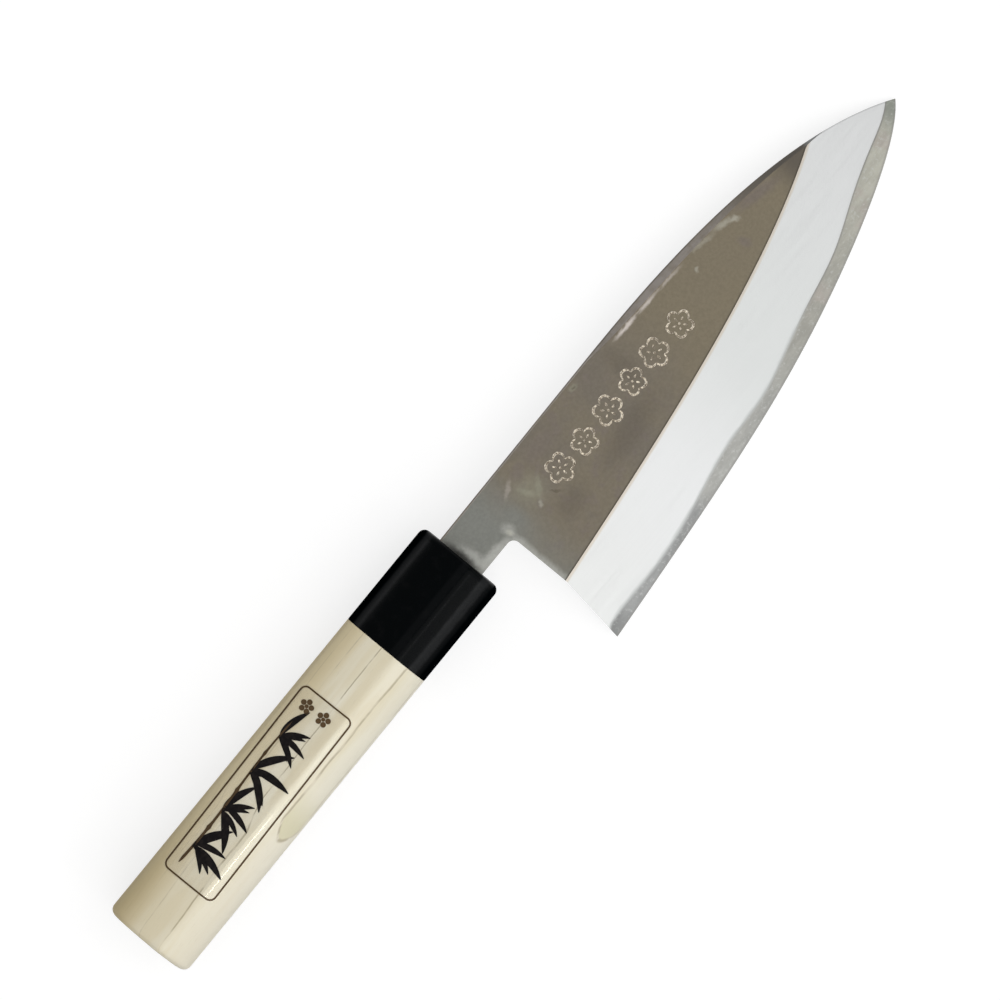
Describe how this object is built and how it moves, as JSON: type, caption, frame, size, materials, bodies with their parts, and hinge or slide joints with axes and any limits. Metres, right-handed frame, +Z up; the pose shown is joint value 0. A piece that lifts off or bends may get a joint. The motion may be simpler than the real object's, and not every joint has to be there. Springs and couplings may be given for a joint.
{
  "type": "deba knife",
  "caption": "Single-bevel fish knife: thick forged blade with a bright bevel and a hard steel edge layer, black ferrule and pale wooden stick-tang handle.",
  "frame": {"origin": "centre of the footprint box of the lying knife, on the table", "axes": "+X towards the point along the handle, +Y towards the spine, +Z up from the table on the bevelled side"},
  "size_m": [0.2862, 0.0552, 0.024],
  "materials": {
    "iron": "soft iron, dark flat side and satin bevel",
    "steel": "honed",
    "ferrule_plastic": "gloss black",
    "handle_wood": "bare pale wood, fine sanded",
    "seal_resin": "matt",
    "label_film": "clear gloss film"
  },
  "bodies": {
    "root": {"iron_body": "iron", "steel_layer": "steel", "ferrule": "ferrule_plastic", "handle_body": "handle_wood", "tang_seal": "seal_resin", "handle_label": "label_film"}
  },
  "joints": []
}
